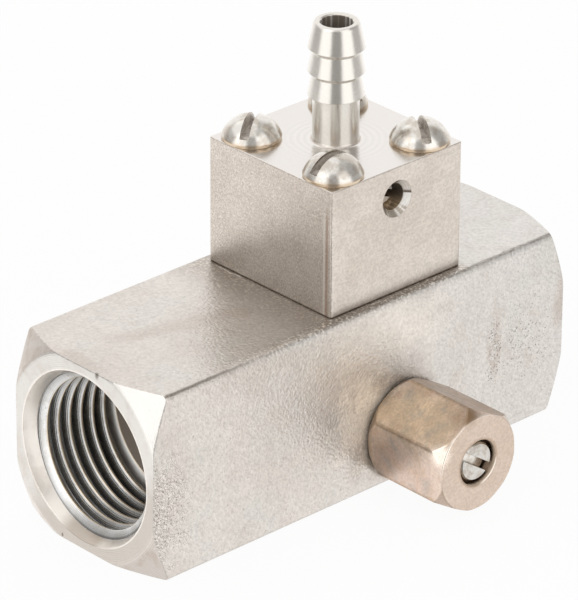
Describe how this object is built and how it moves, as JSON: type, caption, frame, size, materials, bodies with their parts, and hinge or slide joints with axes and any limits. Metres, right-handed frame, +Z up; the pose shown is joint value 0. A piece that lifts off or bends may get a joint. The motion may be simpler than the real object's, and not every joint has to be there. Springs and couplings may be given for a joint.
{
  "type": "chemical injector",
  "caption": "Venturi chemical injector: square bar with a pipe port in each end, bolted check-valve block with a hose barb, and a slotted bypass stem in a hexagonal gland nut.",
  "frame": {"origin": "middle of the bar's underside, which it rests on", "axes": "+X along the bar towards the inlet port, -X the outlet port, -Y the face with the gland nut, +Z up the hose barb"},
  "size_m": [0.07, 0.0388, 0.0584],
  "materials": {
    "blasted_steel": "satin, bead-blasted",
    "milled_steel": "fine milled and turned",
    "bright_screws": "polished",
    "tarnished_nickel": "worn nickel plating, tarnished",
    "turned_inserts": "turned",
    "seal_rubber": "moulded",
    "white_plastic": "machined",
    "spring_wire": "drawn wire",
    "check_ball_steel": "polished"
  },
  "bodies": {
    "injector": {"body": "blasted_steel", "injector_block": "milled_steel", "block_screw_1": "bright_screws", "block_screw_2": "bright_screws", "block_screw_3": "bright_screws", "block_screw_4": "bright_screws", "gland_nut": "tarnished_nickel", "gland_nipple": "turned_inserts", "gland_packing": "white_plastic", "gland_follower": "turned_inserts", "venturi_nozzle": "turned_inserts", "nozzle_o_ring": "seal_rubber", "venturi_diffuser": "turned_inserts", "diffuser_o_ring": "seal_rubber", "block_seal": "seal_rubber", "check_seat": "white_plastic", "check_spring": "spring_wire", "spring_seat": "turned_inserts"},
    "stem_carriage": {"stem_o_ring": "seal_rubber"},
    "bypass_stem": {"bypass_stem": "bright_screws"},
    "metering_carriage": {"metering_o_ring": "seal_rubber"},
    "metering_screw": {"metering_screw": "bright_screws"},
    "check_ball": {"check_ball": "check_ball_steel"}
  },
  "joints": [
    {"name": "stem_travel", "type": "slide", "parent": "injector", "child": "stem_carriage", "axis": [0, 1, 0], "range_m": [-0.00079, 0.00211]},
    {"name": "stem_turn", "type": "hinge", "parent": "stem_carriage", "child": "bypass_stem", "pos_m": [0.0067, -0.0258, 0.0074], "axis": [0, 1, 0], "range_deg": [-360, 960]},
    {"name": "metering_travel", "type": "slide", "parent": "injector", "child": "metering_carriage", "axis": [0, 1, 0], "range_m": [-0.00119, 0.00099]},
    {"name": "metering_turn", "type": "hinge", "parent": "metering_carriage", "child": "metering_screw", "pos_m": [0.0067, -0.00855, 0.0382], "axis": [0, 1, 0], "range_deg": [-540, 450]},
    {"name": "check_lift", "type": "slide", "parent": "injector", "child": "check_ball", "axis": [0, 0, -1], "range_m": [0, 0.0012], "stiffness_N_per_m": 60, "springref_m": -0.002, "deforming": ["check_spring"]}
  ],
  "couplings": [
    {"joint": "stem_turn", "follows": "stem_travel", "rad_per_m": 7913.3},
    {"joint": "metering_turn", "follows": "metering_travel", "rad_per_m": 7913.3}
  ]
}
